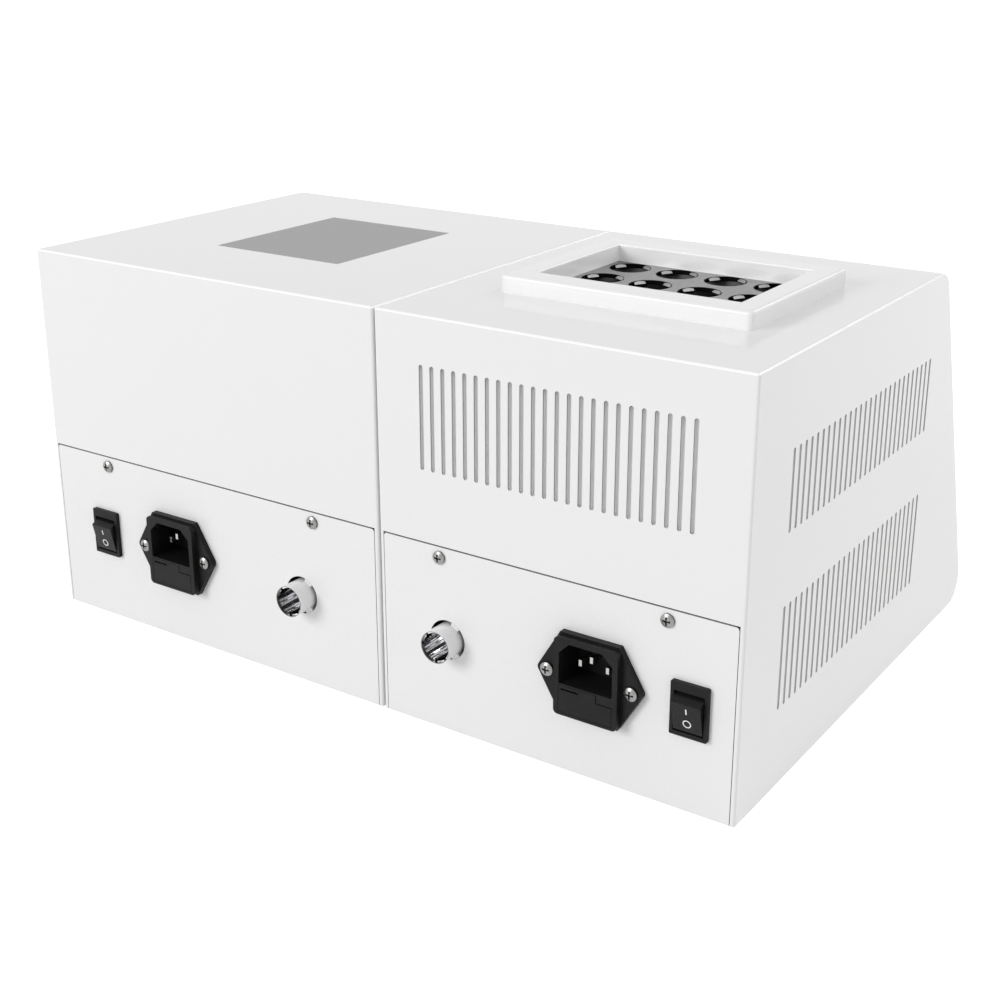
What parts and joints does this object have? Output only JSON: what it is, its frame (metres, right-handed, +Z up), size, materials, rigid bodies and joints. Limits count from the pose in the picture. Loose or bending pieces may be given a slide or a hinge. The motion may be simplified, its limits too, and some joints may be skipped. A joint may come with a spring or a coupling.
{
  "type": "block digester",
  "caption": "Bench instrument of two wedge-shaped units side by side: a heated well block with a raised collar and louvred walls, and a reader with a flush hinged cell lid.",
  "frame": {"origin": "middle of the footprint at the plane that the feet stand on", "axes": "+Z up, -Y towards the sloping front with the keys, +Y towards the rear with the mains inlets, +X towards the unit with the flush lid"},
  "size_m": [0.3878, 0.2767, 0.2],
  "materials": {
    "white_shell": "gloss",
    "white_sheet": "satin",
    "black_plastic": "satin",
    "black_gloss": "gloss",
    "white_plastic": "gloss",
    "chrome": "polished",
    "steel": "brushed",
    "grey_lid": "matt",
    "plate_steel": "satin",
    "block_aluminium": "machined",
    "insulation": "matt",
    "heater": "matt",
    "rubber": "matt",
    "zinc_sheet": "satin",
    "board": "satin",
    "fuse_glass": "clear",
    "window": "clear",
    "key_grey": "matt",
    "screen": "matt",
    "holder_black": "anodised"
  },
  "bodies": {
    "case": {"digester_cover": "white_shell", "digester_rear_panel": "white_sheet", "digester_base_plate": "zinc_sheet", "digester_inlet": "black_plastic", "digester_inlet_pins": "chrome", "digester_switch": "black_plastic", "digester_port_sleeve": "white_plastic", "digester_port_contact": "chrome", "digester_display_window": "window", "digester_control_board": "board", "digester_power_board": "board", "reader_cover": "white_shell", "reader_rear_panel": "white_sheet", "reader_base_plate": "zinc_sheet", "reader_inlet": "black_plastic", "reader_inlet_pins": "chrome", "reader_switch": "black_plastic", "reader_port_sleeve": "white_plastic", "reader_port_contact": "chrome", "reader_display_window": "window", "reader_control_board": "board", "reader_power_board": "board", "panel_screws": "chrome", "inlet_screws": "steel", "base_screws": "steel", "feet": "rubber", "tie_bolts": "steel", "tie_washers": "white_plastic", "collar": "white_shell", "well_plate": "plate_steel", "heating_block": "block_aluminium", "heater_pad": "heater", "insulation_jacket": "insulation", "thermal_cutout": "black_gloss", "temperature_probe": "steel", "jacket_standoffs": "steel", "dust_screen": "screen", "lid_pin": "steel", "cell_compartment": "black_plastic", "cell_holder": "holder_black", "lamp_housing": "black_plastic", "detector_housing": "black_plastic", "lid_latch": "black_plastic"},
    "digester_rocker_body": {"digester_rocker": "black_gloss"},
    "digester_drawer_body": {"digester_fuse_drawer": "black_plastic", "digester_fuse": "fuse_glass"},
    "digester_key_down_body": {"digester_key_down": "key_grey"},
    "digester_key_up_body": {"digester_key_up": "key_grey"},
    "digester_key_start_body": {"digester_key_start": "key_grey"},
    "reader_rocker_body": {"reader_rocker": "black_gloss"},
    "reader_drawer_body": {"reader_fuse_drawer": "black_plastic", "reader_fuse": "fuse_glass"},
    "reader_key_down_body": {"reader_key_down": "key_grey"},
    "reader_key_up_body": {"reader_key_up": "key_grey"},
    "reader_key_start_body": {"reader_key_start": "key_grey"},
    "lid_body": {"cell_lid": "grey_lid"},
    "plunger_body": {"latch_plunger": "steel"}
  },
  "joints": [
    {"name": "digester_rocker_turn", "type": "hinge", "parent": "case", "child": "digester_rocker_body", "pos_m": [-0.1726, 0.12768, 0.0503], "axis": [-1, 0, 0], "range_deg": [0, 16]},
    {"name": "digester_drawer_slide", "type": "slide", "parent": "case", "child": "digester_drawer_body", "axis": [0, 1, 0], "range_m": [0, 0.022]},
    {"name": "digester_key_down_press", "type": "slide", "parent": "case", "child": "digester_key_down_body", "axis": [0, 0.9368, -0.3498], "range_m": [0, 0.0012], "stiffness_N_per_m": 300, "springref_m": -0.0005},
    {"name": "digester_key_up_press", "type": "slide", "parent": "case", "child": "digester_key_up_body", "axis": [0, 0.9368, -0.3498], "range_m": [0, 0.0012], "stiffness_N_per_m": 300, "springref_m": -0.0005},
    {"name": "digester_key_start_press", "type": "slide", "parent": "case", "child": "digester_key_start_body", "axis": [0, 0.9368, -0.3498], "range_m": [0, 0.0012], "stiffness_N_per_m": 300, "springref_m": -0.0005},
    {"name": "reader_rocker_turn", "type": "hinge", "parent": "case", "child": "reader_rocker_body", "pos_m": [0.1592, 0.12768, 0.0503], "axis": [-1, 0, 0], "range_deg": [0, 16]},
    {"name": "reader_drawer_slide", "type": "slide", "parent": "case", "child": "reader_drawer_body", "axis": [0, 1, 0], "range_m": [0, 0.022]},
    {"name": "reader_key_down_press", "type": "slide", "parent": "case", "child": "reader_key_down_body", "axis": [0, 0.9368, -0.3498], "range_m": [0, 0.0012], "stiffness_N_per_m": 300, "springref_m": -0.0005},
    {"name": "reader_key_up_press", "type": "slide", "parent": "case", "child": "reader_key_up_body", "axis": [0, 0.9368, -0.3498], "range_m": [0, 0.0012], "stiffness_N_per_m": 300, "springref_m": -0.0005},
    {"name": "reader_key_start_press", "type": "slide", "parent": "case", "child": "reader_key_start_body", "axis": [0, 0.9368, -0.3498], "range_m": [0, 0.0012], "stiffness_N_per_m": 300, "springref_m": -0.0005},
    {"name": "lid_open", "type": "hinge", "parent": "case", "child": "lid_body", "pos_m": [0.0874, 0.07078, 0.1898], "axis": [-1, 0, 0], "range_deg": [0, 95]},
    {"name": "plunger_press", "type": "slide", "parent": "case", "child": "plunger_body", "axis": [0, 0, -1], "range_m": [0, 0.0015], "stiffness_N_per_m": 200, "springref_m": -0.0005}
  ]
}
